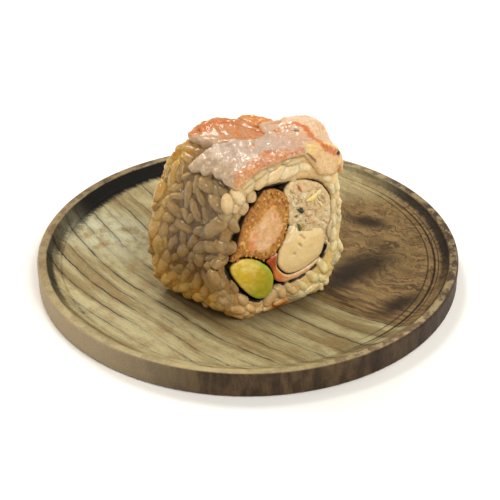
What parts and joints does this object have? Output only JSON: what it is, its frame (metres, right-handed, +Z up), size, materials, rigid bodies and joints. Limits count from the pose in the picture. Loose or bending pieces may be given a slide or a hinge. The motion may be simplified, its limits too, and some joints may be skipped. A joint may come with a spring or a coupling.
{
  "type": "uramaki roll on a round wooden board",
  "caption": "Piece of inside-out sushi roll with fried prawn, avocado and crab stick filling and a cooked prawn topping, resting on a round wooden serving board.",
  "frame": {"origin": "middle of the round board's underside", "axes": "+Z up through the roll's prawn topping; the board is round, and the roll's cut face with the fillings looks towards -Y and +X"},
  "size_m": [0.11, 0.11, 0.0499],
  "materials": {
    "board": "matt, dark grain lines",
    "rice": "moist cooked rice, translucent",
    "nori": "black seaweed, slightly glossy",
    "fried_prawn": "crumbed golden crust round pale prawn",
    "avocado": "soft, yellow to green",
    "crab_stick_wrap": "moist, white with an orange outer edge",
    "crab_stick_core": "smooth, pale cream",
    "seafood_salad": "chopped, moist, with green flecks",
    "prawn_topping_front": "cooked prawn, white with orange bands, glossy",
    "prawn_topping_back": "cooked prawn, orange brushed over white",
    "prawn_topping_rear": "cooked prawn, orange"
  },
  "bodies": {
    "root": {"board": "board", "rice": "rice", "nori": "nori", "fried_prawn": "fried_prawn", "avocado": "avocado", "crab_stick_wrap": "crab_stick_wrap", "crab_stick_core": "crab_stick_core", "seafood_salad": "seafood_salad", "prawn_topping_front": "prawn_topping_front", "prawn_topping_back": "prawn_topping_back", "prawn_topping_rear": "prawn_topping_rear"}
  },
  "joints": []
}
